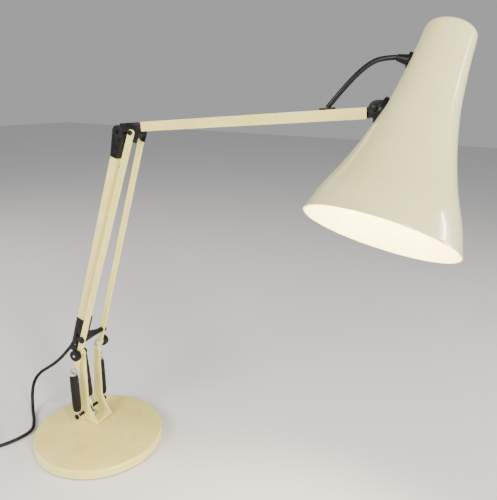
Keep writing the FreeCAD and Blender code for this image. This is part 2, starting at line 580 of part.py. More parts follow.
def make_head():
    half = "knuckle_half_width"
    disc_face = "knuckle_face + disc_thickness"
    moon = common(rod("y", "knuckle_radius", "-" + half, half),
                  block("-20", "knuckle_face", "-20", "20", "-20", "20"))
    pin = ("-tilt_pin_back", "0")
    slot_room = "tongue_half_width + side_gap"
    slot = block("-20", "0", "-(" + slot_room + ")", slot_room, "-20", "20")
    node("head_knuckle", cut(
        moon, slot, rod("y", "tilt_pin_radius", "-20", "20", pin)), HEAD)
    node("tilt_bolt", turned([
        ("0", f"-{half} - 1.6"), ("3.2", f"-{half} - 1.6"), ("3.2", "-" + half),
        ("tilt_pin_radius", "-" + half), ("tilt_pin_radius", half), ("3.2", half),
        ("3.2", half + " + 1.6"), ("0", half + " + 1.6")], "y", ("-tilt_pin_back", "0", "0")), HEAD)
    node("swivel_disc", turned([
        ("0", "knuckle_face"), ("disc_radius", "knuckle_face"), ("disc_radius", disc_face),
        ("0", disc_face)], "x"), HEAD)
    node("swivel_stud", turned([
        ("0", disc_face), ("stud_radius", disc_face), ("stud_radius", "10.6"), ("0", "10.6")],
        "x"), HEAD)
    node("stud_nut", turned([("stud_radius", "5.9"), ("5", "5.9"), ("5", "9.4"),
                             ("stud_radius", "9.4")], "x"), HEAD)


def shade_wall(inset):
    """Half outline of the shade's outer face, moved inwards by inset."""
    points = [Vector(radius - inset, 0, height) for height, radius in SHADE_OUTLINE]
    curve = Part.BSplineCurve()
    curve.interpolate(points)
    top = number("shade_length") - inset
    last = points[-1]
    edge = TOP_EDGE_RADIUS - inset
    middle = Vector(last.x - edge, 0, top - edge)
    bend = math.radians(45)
    half_way = middle + Vector(edge * math.cos(bend), 0, edge * math.sin(bend))
    flat = Vector(last.x - edge, 0, top)
    rounding = Part.Arc(Vector(last.x, 0, top - edge), half_way, flat).toShape()
    lid = Part.makeLine(flat, Vector(0, 0, top))
    return [curve.toShape(), rounding, lid], points[0], top


def make_shade():
    wall = number("shade_wall")
    outer, outer_lip, top = shade_wall(0)
    inner, inner_lip, inner_top = shade_wall(wall)
    joins = [Part.makeLine(outer_lip, inner_lip),
             Part.makeLine(Vector(0, 0, inner_top), Vector(0, 0, top))]
    face = Part.Face(Part.Wire(Part.__sortEdges__(outer + inner + joins)))
    shell = face.revolve(Vector(), Vector(0, 0, 1), 360)
    bell = solid_feature(shell, "bell")
    stud_way = SHADE.inverse() * HEAD
    stud_hole = solid_feature(Part.makeCylinder(number("stud_radius + running_gap"), 20,
                                                Vector(-2, 0, 0), X_AXIS), "stud_hole")
    stud_hole.Placement = stud_way
    node("shade", cut(
        bell, stud_hole, rod("x", "gland_radius - 1", "-45", "0", ("0", "gland_height")),
        rod("z", "button_radius + 1.9", "220", "240")), SHADE)
    saddle_face = number("knuckle_face + disc_thickness + side_gap")
    pad = Part.makeCylinder(number("disc_radius"), 12, Vector(saddle_face, 0, 0), X_AXIS)
    pad = pad.cut(Part.makeCylinder(number("stud_radius + running_gap"), 20, Vector(0, 0, 0), X_AXIS))
    pad.Placement = stud_way
    filled = Part.Face(Part.Wire(Part.__sortEdges__(
        outer + [Part.makeLine(Vector(), outer_lip), Part.makeLine(Vector(), Vector(0, 0, top))])))
    bulk = filled.revolve(Vector(), Vector(0, 0, 1), 360)
    node("shade_saddle", solid_feature(pad.cut(bulk), "saddle"), SHADE)
    return bulk


def make_shade_fittings(bulk):
    face = number("gland_face")
    flange_height = number("gland_flange")
    body = Part.makeCone(number("gland_radius"), number("cord_radius + 0.8"),
                         number("gland_length") - flange_height,
                         Vector(-face - flange_height, 0, 0), -X_AXIS)
    sunk = 1.4
    flange = Part.makeCylinder(number("gland_flange_radius"), flange_height + sunk,
                               Vector(sunk - face, 0, 0), -X_AXIS)
    bore = Part.makeCylinder(number("cord_radius"), 60, Vector(-60, 0, 0), X_AXIS)
    outside = body.fuse(flange)
    outside.translate(Vector(0, 0, number("gland_height")))
    bore.translate(Vector(0, 0, number("gland_height")))
    neck = Part.makeCylinder(number("gland_radius - 1"), 3.6,
                             Vector(-face - 0.2, 0, number("gland_height")), X_AXIS)
    nut = Part.makeCylinder(5.6, 2.2, Vector(1.8 - face, 0, number("gland_height")), X_AXIS)
    gland = outside.cut(bulk).fuse([neck, nut]).cut(bore)
    node("cord_gland", solid_feature(gland.removeSplitter(), "gland"), SHADE)
    ceiling = "shade_length - shade_wall"
    node("lampholder", turned([
        ("bulb_cap_radius + 0.2", "holder_bottom"), ("holder_radius - 1", "holder_bottom"),
        ("holder_radius", "holder_bottom + 1"), ("holder_radius", ceiling),
        ("holder_radius - 2", ceiling), ("holder_radius - 2", "switch_bottom - 2"),
        ("6", "switch_bottom - 2"), ("6", "cap_top + 1"), ("bulb_cap_radius + 0.2", "cap_top + 1")]),
        SHADE)
    node("bulb_cap", turned([
        ("0", "cap_bottom"), ("bulb_cap_radius", "cap_bottom"), ("bulb_cap_radius", "cap_top - 5"),
        ("5", "cap_top"), ("0", "cap_top")]), SHADE)
    globe = [doc.addObject("Part::Sphere", "globe") for _ in range(2)]
    throat = [doc.addObject("Part::Cone", "throat") for _ in range(2)]
    for index, inset in enumerate(("0", "glass")):
        bind(globe[index], Radius=f"bulb_radius - {inset}")
        bind_base(globe[index], "0", "0", "bulb_middle")
        bind(throat[index], Radius1=f"bulb_radius * 0.84 - {inset}",
             Radius2=f"bulb_cap_radius - {inset}",
             Height="cap_bottom - bulb_middle - bulb_radius * 0.54")
        bind_base(throat[index], "0", "0", "bulb_middle + bulb_radius * 0.54")
    node("bulb_glass", cut(fuse(globe[0], throat[0]), fuse(globe[1], throat[1])), SHADE)
    collar_top = "shade_length + 2"
    node("switch_body", turned([
        ("0", "switch_bottom"), ("12", "switch_bottom"), ("12", ceiling),
        ("button_radius + 1.9", ceiling), ("button_radius + 1.9", "shade_length"),
        ("button_radius + 3", "shade_length"), ("button_radius + 3", collar_top),
        ("button_radius + 0.1", collar_top), ("button_radius + 0.1", "shade_length - 11"),
        ("0", "shade_length - 11")]), SHADE)
    node("switch_button", turned([
        ("0", "shade_length - 7.5"), ("button_radius", "shade_length - 7.5"),
        ("button_radius", "shade_length + button_proud - 1"),
        ("button_radius - 1", "shade_length + button_proud"),
        ("0", "shade_length + button_proud")]), SHADE)


# ---- cords --------------------------------------------------------------------------------

def route(points):
    """Straight runs joined by tangent arcs, each as large as its two runs allow."""
    edges = []
    start = points[0]
    radii = []
    for before, corner, after in zip(points, points[1:], points[2:]):
        come = (corner - before).normalize()
        leave = (after - corner).normalize()
        half_turn = come.getAngle(leave) / 2
        reach = 0.45 * min((corner - before).Length, (after - corner).Length)
        radius = reach / math.tan(half_turn)
        radii.append(round(radius))
        first = corner - come * reach
        last = corner + leave * reach
        inward = (leave - come).normalize()
        bow = corner + inward * (radius / math.cos(half_turn) - radius)
        edges.append(Part.LineSegment(start, first).toShape())
        edges.append(Part.Arc(first, bow, last).toShape())
        start = last
    edges.append(Part.LineSegment(start, points[-1]).toShape())
    return Part.Wire(edges), radii


def make_cord(name, points):
    """A round cord along a route, its volume held against section times length."""
    path, radii = route([Vector(*point) for point in points])
    radius = number("cord_radius")
    first = path.Edges[0]
    circle = Part.makeCircle(radius, first.valueAt(first.FirstParameter),
                             first.tangentAt(first.FirstParameter))
    tube = path.makePipeShell([Part.Wire(circle)], True, False)
    wanted = math.pi * radius ** 2 * path.Length
    print(f"{name}: length {path.Length:.0f}, radii {radii}, volume ratio {tube.Volume / wanted:.4f}")
    node(name, solid_feature(tube, "cord"), BASE)


CORD_DROP = ((-68.4, 23.2, 139.15), (-89, 23.2, 114.6), (-111.5, 23.2, 93.5), (-131, 23.2, 78.8),
             (-148, 20.5, 66.5), (-157.5, 14.5, 50), (-158.5, 9, 30), (-155, 4.5, 12),
             (-143, -6.5, 2.75))
CORD_FLOOR = ((-141.4, -7.7, 2.75), (-125.3, -19.8, 2.75), (-104.3, -41.8, 2.75),
              (-109.3, -73.8, 2.75), (-125.3, -104, 2.75), (-147.6, -135.9, 2.75))
HEAD_LOOP = ((355.5, 26.5, 546), (367, 30.5, 560.5), (379, 35.5, 573), (391.5, 41.5, 580.5))


def make_cords():
    make_cord("mains_cord_drop", CORD_DROP)
    make_cord("mains_cord_floor", CORD_FLOOR)
    exit_point = UPPER * Vector(number("grommet_middle"), 0, number("tube_above_elbow + 8"))
    gland_tip = SHADE * Vector(-number("gland_face + gland_length + cord_end_gap"), 0,
                               number("gland_height"))
    make_cord("head_cord", (tuple(exit_point),) + HEAD_LOOP + (tuple(gland_tip),))
    low = number("coil_middle_radius - coil_half_width")
    high = number("coil_middle_radius + coil_half_width")
    height = number("coil_height")
    spot = Vector(number("coil_x"), number("coil_y"), 0)
    hank = Part.makeCylinder(high, height, spot).cut(Part.makeCylinder(low, height, spot))
    hank = hank.makeFillet(2.5, [edge for edge in hank.Edges if edge.Closed])
    leave = math.radians(number("tail_at"))
    outward = Vector(math.cos(leave), math.sin(leave), 0)
    along = Vector(math.sin(leave), -math.cos(leave), 0)
    radius = number("cord_radius")
    start = spot + outward * number("tail_radius") + Vector(0, 0, radius + 0.05)
    end = start + along * number("tail_length")
    end.z = number("plug_thick / 2")
    tail = Part.makeCylinder(radius, (end - start).Length, start, end - start)
    node("cord_coil", solid_feature(hank.fuse(tail).removeSplitter(), "coil"), BASE)
    plug_frame = Placement(end, Rotation(X_AXIS, along))
    shell = fuse(block("0", "plug_neck_long", "-plug_neck_wide / 2", "plug_neck_wide / 2",
                       "-plug_thick / 2 + 1.5", "plug_thick / 2 - 1.5"),
                 block("plug_neck_long - 12", "plug_long", "-plug_wide / 2", "plug_wide / 2",
                       "-plug_thick / 2", "plug_thick / 2"))
    node("plug_body", shell, plug_frame)
    pins = [rod("x", "plug_pin_radius", "plug_long", "plug_long + plug_pin_length",
                (f"{side} * plug_pin_half_pitch", "0")) for side in (-1, 1)]
    node("plug_pins", group(*pins), plug_frame)


def check_and_write():
    doc.recompute()
    for thing in doc.Objects:
        if {"Invalid", "Error"} & set(thing.State):
            raise SystemExit(f"{thing.Name} ({thing.Label}) failed: {thing.State}")
    os.makedirs("parts", exist_ok=True)
    for piece in NODES:
        shape = piece.Shape
        if shape.isNull() or not shape.isValid():
            raise SystemExit(f"{piece.Label} has no valid shape")
        shape.exportStep(f"parts/{piece.Label}.step")
        print(f"{piece.Label}: {len(shape.Solids)} solid(s), {shape.Volume / 1000:.2f} cm3")
    print(len(NODES), "nodes")


make_base()
make_fork()
make_lower_arm()
make_springs()
make_bell_crank()
make_link()
make_upper_arm()
make_head()
make_shade_fittings(make_shade())
make_cords()
check_and_write()
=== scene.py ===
import json
import math
import bpy
import bmesh
from mathutils import Matrix, Vector


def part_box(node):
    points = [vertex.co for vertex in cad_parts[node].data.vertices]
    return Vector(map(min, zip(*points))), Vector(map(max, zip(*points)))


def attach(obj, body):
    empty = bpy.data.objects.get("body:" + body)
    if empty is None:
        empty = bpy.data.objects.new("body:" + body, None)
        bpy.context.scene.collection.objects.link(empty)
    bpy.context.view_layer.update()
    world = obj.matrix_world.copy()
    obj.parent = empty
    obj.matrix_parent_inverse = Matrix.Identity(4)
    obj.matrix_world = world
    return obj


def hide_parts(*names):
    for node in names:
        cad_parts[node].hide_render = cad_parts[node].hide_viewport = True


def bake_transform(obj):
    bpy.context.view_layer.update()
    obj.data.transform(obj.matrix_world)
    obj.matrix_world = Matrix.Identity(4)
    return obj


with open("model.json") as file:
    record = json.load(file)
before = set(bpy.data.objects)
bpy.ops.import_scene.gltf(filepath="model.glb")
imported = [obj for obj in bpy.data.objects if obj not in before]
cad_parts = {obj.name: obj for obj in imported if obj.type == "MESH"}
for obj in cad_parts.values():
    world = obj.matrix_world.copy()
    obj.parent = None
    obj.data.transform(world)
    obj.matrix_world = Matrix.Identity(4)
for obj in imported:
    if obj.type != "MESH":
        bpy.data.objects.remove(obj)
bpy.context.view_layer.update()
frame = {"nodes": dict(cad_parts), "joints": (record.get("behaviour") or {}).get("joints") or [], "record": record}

# Architect desk lamp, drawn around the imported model. Metres, +Z up, the table at z = 0.
MM = 0.001
Y_WAY = Vector((0, 1, 0))
Z_WAY = Vector((0, 0, 1))
JOINTS = {joint["name"]: joint for joint in frame["joints"]}
BODY_OF = {node: body for body, nodes in frame["record"]["behaviour"]["bodies"].items()
           for node in nodes}
SLOT_OF = {part["node"]: part["material_slot"] for part in frame["record"]["subparts"]}
UPPER_ARM_RISE = math.radians(5.42)
SHADE_LENGTH = 228.9 * MM
CORD_RADIUS = 2.7 * MM


# ---- frames -------------------------------------------------------------------------------

def place_of(joint):
    return Vector(JOINTS[joint]["pos_m"])


def axes(origin, along, across):
    """A frame whose x runs along, whose y lies nearest to across and whose z is square to both."""
    x = along.normalized()
    y = (across - across.dot(x) * x).normalized()
    matrix = Matrix((x, y, x.cross(y))).transposed().to_4x4()
    matrix.translation = origin
    return matrix


PIVOT_POINT = place_of("lower_arm_tilt")
ELBOW_POINT = place_of("elbow_tilt")
ARM_WAY = ELBOW_POINT - PIVOT_POINT
PIVOT = axes(PIVOT_POINT, Vector((1, 0, 0)), Y_WAY)
LOWER = axes(PIVOT_POINT, ARM_WAY, Y_WAY)
UPPER = axes(ELBOW_POINT, Vector((math.cos(UPPER_ARM_RISE), 0, math.sin(UPPER_ARM_RISE))), Y_WAY)
HEAD = axes(place_of("shade_swivel"), Vector(JOINTS["shade_swivel"]["axis"]), Y_WAY)


def shade_frame():
    """Origin in the middle of the shade's mouth, z towards its top, x away from the knuckle."""
    up = Vector(JOINTS["switch_press"]["axis"]).normalized()
    mouth = place_of("switch_press") - up * SHADE_LENGTH
    out = mouth - HEAD.translation
    out = (out - out.dot(up) * up).normalized()
    return axes(mouth, out, up.cross(out))


SHADE = shade_frame()


# ---- materials ----------------------------------------------------------------------------

class Shader:
    """A node material that is built up one texture at a time."""

    def __init__(self, name):
        self.material = bpy.data.materials.new(name)
        self.material.use_nodes = True
        self.tree = self.material.node_tree
        self.surface = self.tree.nodes["Principled BSDF"]
        self.place = self.tree.nodes.new("ShaderNodeTexCoord").outputs["Object"]

    def set(self, **values):
        for name, value in values.items():
            self.surface.inputs[name.replace("_", " ")].default_value = value
        return self

    def join(self, output, socket):
        self.tree.links.new(output, self.surface.inputs[socket])

    def noise(self, scale, detail=4, stretch=(1, 1, 1)):
        node = self.tree.nodes.new("ShaderNodeTexNoise")
        node.inputs["Scale"].default_value = scale
        node.inputs["Detail"].default_value = detail
        placing = self.tree.nodes.new("ShaderNodeMapping")
        placing.inputs["Scale"].default_value = stretch
        self.tree.links.new(self.place, placing.inputs["Vector"])
        self.tree.links.new(placing.outputs["Vector"], node.inputs["Vector"])
        return node.outputs["Fac"]

    def cells(self, scale):
        node = self.tree.nodes.new("ShaderNodeTexVoronoi")
        node.inputs["Scale"].default_value = scale
        self.tree.links.new(self.place, node.inputs["Vector"])
        return node.outputs["Distance"]

    def distance(self, point):
        """How far a spot lies from a fixed point on the object."""
        node = self.tree.nodes.new("ShaderNodeVectorMath")
        node.operation = "DISTANCE"
        node.inputs[1].default_value = point
        self.tree.links.new(self.place, node.inputs[0])
        return node.outputs["Value"]

    def span(self, source, low, high, to_low=0.0, to_high=1.0):
        node = self.tree.nodes.new("ShaderNodeMapRange")
        for name, value in zip(("From Min", "From Max", "To Min", "To Max"),
                               (low, high, to_low, to_high)):
            node.inputs[name].default_value = value
        self.tree.links.new(source, node.inputs["Value"])
        return node.outputs["Result"]

    def times(self, first, second):
        node = self.tree.nodes.new("ShaderNodeMath")
        node.operation = "MULTIPLY"
        self.tree.links.new(first, node.inputs[0])
        self.tree.links.new(second, node.inputs[1])
        return node.outputs["Value"]

    def blend(self, factor, first, second):
        """Mix two colours, given as tuples or as earlier outputs."""
        node = self.tree.nodes.new("ShaderNodeMix")
        node.data_type = "RGBA"
        self.tree.links.new(factor, node.inputs["Factor"])
        for socket, colour in ((node.inputs[6], first), (node.inputs[7], second)):
            if isinstance(colour, tuple):
                socket.default_value = colour + (1,)
            else:
                self.tree.links.new(colour, socket)
        return node.outputs[2]

    def bump(self, height, depth, strength=1.0, under=None):
        node = self.tree.nodes.new("ShaderNodeBump")
        node.inputs["Distance"].default_value = depth
        node.inputs["Strength"].default_value = strength
        self.tree.links.new(height, node.inputs["Height"])
        if under is not None:
            self.tree.links.new(under, node.inputs["Normal"])
        return node.outputs["Normal"]


def enamel(name, light, dark, grime=0.35, chipped_at=None):
    """Stoved enamel: orange peel, slow yellowing, dirt specks, and rust chips near one point."""
    paint = Shader(name)
    tone = paint.blend(paint.span(paint.noise(14, 3), 0.35, 0.7), light, dark)
    dirt = paint.span(paint.noise(55, 6), 0.60, 0.78, 0, grime)
    tone = paint.blend(dirt, tone, (dark[0] * 0.62, dark[1] * 0.55, dark[2] * 0.42))
    speck = paint.span(paint.cells(260), 0.10, 0.05, 0, 1)
    few = paint.span(paint.noise(30, 2), 0.60, 0.66)
    tone = paint.blend(paint.times(speck, few), tone, (0.16, 0.10, 0.05))
    if chipped_at is not None:
        away = paint.span(paint.distance(chipped_at), 0.004, 0.03, 1, 0)
        rust = paint.span(paint.noise(210, 5), 0.50, 0.56)
        tone = paint.blend(paint.times(away, rust), tone, (0.42, 0.20, 0.05))
    paint.join(tone, "Base Color")
    paint.join(paint.span(paint.noise(40, 5), 0.3, 0.75, 0.16, 0.30), "Roughness")
    peel = paint.bump(paint.noise(620, 2), 0.00004, 0.4)
    paint.join(paint.bump(paint.noise(90, 3), 0.0001, 0.2, peel), "Normal")
    return paint.set(Coat_Weight=0.5, Coat_Roughness=0.06).material


def moulded(name, colour, rough=0.42, dust=0.35, grain=2200):
    """Moulded plastic or rubber with a fine texture, uneven shine and patches of dust."""
    plastic = Shader(name)
    grey = tuple(part + 0.022 for part in colour)
    tone = plastic.blend(plastic.span(plastic.noise(70, 6), 0.52, 0.8, 0, dust), colour, grey)
    plastic.join(tone, "Base Color")
    plastic.join(plastic.span(plastic.noise(120, 4), 0.3, 0.7, rough - 0.1, rough + 0.12),
                 "Roughness")
    fine = plastic.bump(plastic.noise(grain, 2), 0.00004, 0.5)
    plastic.join(plastic.bump(plastic.noise(160, 3), 0.0001, 0.25, fine), "Normal")
    return plastic.set(Specular_IOR_Level=0.22).material


def plated(name, colour, rough=0.3, streak=(1, 1, 14)):
    """Zinc-plated steel: brushed streaks and dull spots."""
    metal = Shader(name)
    dull = tuple(part * 0.55 for part in colour)
    metal.join(metal.blend(metal.span(metal.noise(180, 5), 0.5, 0.8), colour, dull), "Base Color")
    metal.join(metal.span(metal.noise(420, 4, streak), 0.3, 0.7, rough - 0.1, rough + 0.15),
               "Roughness")
    metal.join(metal.bump(metal.noise(900, 3, streak), 0.00003, 0.4), "Normal")
    return metal.set(Metallic=1.0).material


def cast_iron(name):
    iron = Shader(name)
    iron.join(iron.blend(iron.noise(90, 6), (0.07, 0.07, 0.07), (0.17, 0.16, 0.15)), "Base Color")
    iron.join(iron.bump(iron.noise(420, 6), 0.0004, 0.7), "Normal")
    return iron.set(Roughness=0.75, Metallic=0.6).material


def opal_glass(name):
    """The lit bulb: opal glass that glows warm."""
    glass = Shader(name)
    glow = glass.blend(glass.noise(30, 2), (1.0, 0.84, 0.48), (1.0, 0.88, 0.56))
    glass.join(glow, "Base Color")
    glass.join(glow, "Emission Color")
    glass.join(glass.span(glass.noise(60, 2), 0.3, 0.7, 0.12, 0.2), "Roughness")
    return glass.set(Emission_Strength=BULB_GLOW).material


BULB_GLOW = 420.0
MATERIALS = {
    "cream_paint": enamel("cream_enamel", (0.80, 0.69, 0.23), (0.74, 0.62, 0.17), 0.2),
    "black_plastic": moulded("black_moulding", (0.004, 0.004, 0.0045), 0.36, 0.25),
    "black_rubber": moulded("black_rubber", (0.004, 0.004, 0.004), 0.5, 0.2, 1200),
    "black_steel": moulded("black_steel", (0.004, 0.004, 0.0045), 0.3, 0.2),
    "zinc_steel": plated("zinc_plate", (0.66, 0.65, 0.62)),
    "cast_iron": cast_iron("rough_casting"),
    "rubber_pad": moulded("pad_rubber", (0.03, 0.03, 0.03), 0.75, 0.5, 900),
    "cord_sheath": moulded("cord_sheath", (0.004, 0.004, 0.0045), 0.4, 0.2, 1500),
    "brass_pins": plated("brass_pins", (0.80, 0.66, 0.34), 0.25),
    "holder_plastic": moulded("white_moulding", (0.72, 0.70, 0.63), 0.4, 0.3),
    "bulb_metal": plated("bulb_cap", (0.72, 0.72, 0.70), 0.28),
    "lit_glass": opal_glass("lit_glass"),
}
LEFT_RIM = (0.350, -0.054, 0.431)
SHADE_OUTSIDE = enamel("shade_enamel", (0.72, 0.67, 0.33), (0.68, 0.62, 0.27), 0.12)
SHADE_INSIDE = enamel("shade_lining", (0.86, 0.85, 0.50), (0.80, 0.77, 0.36), 0.1, LEFT_RIM)
# The lip's yellow is painted light: a painted glow of the mouth's lit edge; its dirt and rust chips near LEFT_RIM
# are real wear.
RIM_PAINTED_GLOW = enamel("rim_enamel_painted_glow", (0.85, 0.74, 0.25), (0.75, 0.58, 0.14), 0.5, LEFT_RIM)


# ---- meshes -------------------------------------------------------------------------------

def finish_piece(piece, body, *nodes, slot=None, material=None):
    """Give a piece its material, its CAD body and the nodes that it stands for."""
    slot = slot or (SLOT_OF[nodes[0]] if nodes else None)
    if material is not None or not piece.data.materials:
        piece.data.materials.clear()
        piece.data.materials.append(material or MATERIALS[slot])
    if nodes:
        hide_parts(*nodes)
    if body:
        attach(piece, body)
    return piece


def mesh_object(name, points, faces, matrix=None, sharp_angle=math.radians(38)):
    mesh = bpy.data.meshes.new(name)
    mesh.from_pydata([tuple(point) for point in points], [], faces)
    if matrix is not None:
        mesh.transform(matrix)
    tidy_mesh(mesh)
    mesh.shade_smooth()
    mesh.set_sharp_from_angle(angle=sharp_angle)
    piece = bpy.data.objects.new(name, mesh)
    bpy.context.scene.collection.objects.link(piece)
    return piece


def tidy_mesh(mesh):
    work = bmesh.new()
    work.from_mesh(mesh)
    bmesh.ops.remove_doubles(work, verts=work.verts, dist=2e-6)
    bmesh.ops.dissolve_degenerate(work, edges=work.edges, dist=1e-6)
    bmesh.ops.recalc_face_normals(work, faces=work.faces)
    work.to_mesh(mesh)
    work.free()


def lathe(name, outline, matrix, steps=96, wave=None):
    """Turn (radius, height) points round z; wave(height index, angle) may move the radius."""
    points = []
    faces = []
    rows = len(outline)
    for step in range(steps):
        angle = 2 * math.pi * step / steps
        for row, (radius, height) in enumerate(outline):
            if wave is not None:
                radius += wave(row, angle)
            points.append((radius * math.cos(angle), radius * math.sin(angle), height))
    for step in range(steps):
        following = (step + 1) % steps
        for row in range(rows - 1):
            faces.append((step * rows + row, following * rows + row,
                          following * rows + row + 1, step * rows + row + 1))
    return mesh_object(name, points, faces, matrix)


def arc(middle_x, middle_z, radius, start, end, count=6):
    """Points of a round corner in an outline; angles in degrees."""
    turn = [math.radians(start + (end - start) * step / count) for step in range(count + 1)]
    return [(middle_x + radius * math.cos(a), middle_z + radius * math.sin(a)) for a in turn]


def smooth_line(points, per_span=12):
    """A Catmull-Rom line through a few outline points."""
    ends = [Vector(points[0]) * 2 - Vector(points[1]), *map(Vector, points),
            Vector(points[-1]) * 2 - Vector(points[-2])]
    line = []
    for a, b, c, d in zip(ends, ends[1:], ends[2:], ends[3:]):
        for step in range(per_span):
            t = step / per_span
            line.append(0.5 * (2 * b + (c - a) * t + (2 * a - 5 * b + 4 * c - d) * t * t
                               + (3 * b - a - 3 * c + d) * t ** 3))
    return line + [ends[-2]]


def tube(name, line, radius, sides=14, thin=None):
    """A round tube along points, with closed ends; thin(share) scales its radius."""
    line = [Vector(point) for point in line]
    ways = [(after - before).normalized()
            for before, after in zip([line[0]] + line[:-1], line[1:] + [line[-1]])]
    side = ways[0].orthogonal().normalized()
    points = []
    for index, (point, way) in enumerate(zip(line, ways)):
        side = (side - side.dot(way) * way).normalized()
        other = way.cross(side)
        reach = radius * (thin(index / (len(line) - 1)) if thin else 1)
        for step in range(sides):
            angle = 2 * math.pi * step / sides
            points.append(point + reach * (math.cos(angle) * side + math.sin(angle) * other))
    faces = [tuple(range(sides))[::-1], tuple(range(len(points) - sides, len(points)))]
    for row in range(len(line) - 1):
        for step in range(sides):
            following = (step + 1) % sides
            faces.append((row * sides + step, row * sides + following,
                          (row + 1) * sides + following, (row + 1) * sides + step))
    return mesh_object(name, points, faces)


def rounded(node, width=0.35, segments=3, material=None):
    """A CAD node with its sharp edges rounded, so that they catch the light."""
    piece = bpy.data.objects.new(node + "_finished", frame["nodes"][node].data.copy())
    bpy.context.scene.collection.objects.link(piece)
    piece.data.materials.clear()
    work = bmesh.new()
    work.from_mesh(piece.data)
    bmesh.ops.remove_doubles(work, verts=work.verts, dist=5e-6)
    bmesh.ops.dissolve_limit(work, angle_limit=math.radians(0.6), verts=work.verts,
                             edges=work.edges)
    bmesh.ops.recalc_face_normals(work, faces=work.faces)
    work.to_mesh(piece.data)
    work.free()
    bevel = piece.modifiers.new("edges", "BEVEL")
    bevel.width = width * MM
    bevel.segments = segments
    bevel.limit_method = "ANGLE"
    bevel.angle_limit = math.radians(40)
    bevel.harden_normals = False
    bevel.use_clamp_overlap = True
    bpy.context.view_layer.update()
    shaped = bpy.data.meshes.new_from_object(piece.evaluated_get(
        bpy.context.evaluated_depsgraph_get()))
    piece.modifiers.clear()
    piece.data = shaped
    shaped.shade_smooth()
    shaped.set_sharp_from_angle(angle=math.radians(32))
    return finish_piece(piece, BODY_OF[node], node, material=material)


# ---- base ---------------------------------------------------------------------------------

def make_base():
    low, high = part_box("base_cover")
    radius = (high.x - low.x) / 2
    sheet = 1.2 * MM
    edge = 3.2 * MM
    outline = ([(0, high.z)] + [(radius * share, high.z) for share in (0.3, 0.6, 0.85)]
               + arc(radius - edge, high.z - edge, edge, 90, 0, 10)
               + [(radius, low.z + 0.4 * MM), (radius - 0.4 * MM, low.z),
                  (radius - sheet, low.z), (radius - sheet, high.z - edge),
                  (radius - edge, high.z - sheet), (0, high.z - sheet)])
    finish_piece(lathe("base_cover_turned", outline, Matrix(), 160), "base", "base_cover")
    for node in ("base_weight", "base_pad", "friction_washer", "swivel_washer", "swivel_bolt",
                 "swivel_nut"):
        rounded(node)


# ---- fork and pivots ----------------------------------------------------------------------

KNOB_FLUTES = 20


def make_knob(node, side):
    """A fluted clamp knob with a dished face round the bolt's end."""
    low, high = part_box(node)
    radius = (high.x - low.x) / 2
    start = min(abs(low.y - PIVOT_POINT.y), abs(high.y - PIVOT_POINT.y))
    end = max(abs(low.y - PIVOT_POINT.y), abs(high.y - PIVOT_POINT.y))
    bore = 3.1 * MM
    mouth = 2.0 * MM
    round_edge = 1.0 * MM
    outline = [(bore, start), (radius * 0.78, start), (radius - 0.6 * MM, start + 1.2 * MM),
               (radius, start + 2 * MM), (radius, (start + end) / 2), (radius, end - 1.8 * MM)]
    outline += arc(radius - round_edge, end - round_edge, round_edge, 0, 90, 5)
    outline += [(radius * 0.70, end), (radius * 0.62, end - 0.7 * MM), (mouth, end - 0.3 * MM),
                (mouth, end - 1.1 * MM)]
    fluted = range(2, 8)
    wave = lambda row, angle: (-0.55 * MM * (0.5 + 0.5 * math.cos(KNOB_FLUTES * angle)) ** 3
                               if row in fluted else 0)
    turn = Matrix.Rotation(math.radians(-90 * side), 4, "X")
    knob = lathe(node + "_fluted", outline, Matrix.Translation(PIVOT_POINT) @ turn, 160, wave)
    finish_piece(knob, node, node)


def make_fork():
    rounded("fork_bracket", 0.8, 4)
    for node in ("spring_anchor_rod", "rod_clips", "near_pivot_bolt", "far_pivot_bolt",
                 "pivot_washers"):
        rounded(node, 0.3)
    make_knob("near_knob", -1)
    make_knob("far_knob", 1)


# ---- springs ------------------------------------------------------------------------------

SLEEVE_RADIUS = 6.9 * MM
COIL_PITCH = 1.75 * MM
WIRE = 0.8 * MM


def spring_line(bottom, top, coil_radius, pin_radii, coil_from, coil_to):
    """The wire's centreline: a hook round the lower pin, close coils, a hook round the upper pin."""
    way = (top - bottom).normalized()
    side = way.cross(Y_WAY).normalized()
    line = []
    reach = pin_radii[0] + WIRE
    for step in range(17):
        angle = math.radians(-220 + 14 * step)
        line.append(bottom + reach * (math.cos(angle) * side * -1 + math.sin(angle) * way))
    start = coil_from
    line.append(bottom + way * (start - 3 * MM))
    turns = (coil_to - coil_from) / COIL_PITCH
    count = int(turns * 14)
    for step in range(count + 1):
        angle = 2 * math.pi * turns * step / count
        rise = coil_from + (coil_to - coil_from) * step / count
        line.append(bottom + way * rise + coil_radius * (math.cos(angle) * side
                                                         + math.sin(angle) * Y_WAY))
    line.append(bottom + way * (coil_to + 3 * MM))
    reach = pin_radii[1] + WIRE
    for step in range(17):
        angle = math.radians(-40 + 14 * step)
        line.append(top + reach * (math.cos(angle) * side + math.sin(angle) * way))
    return line


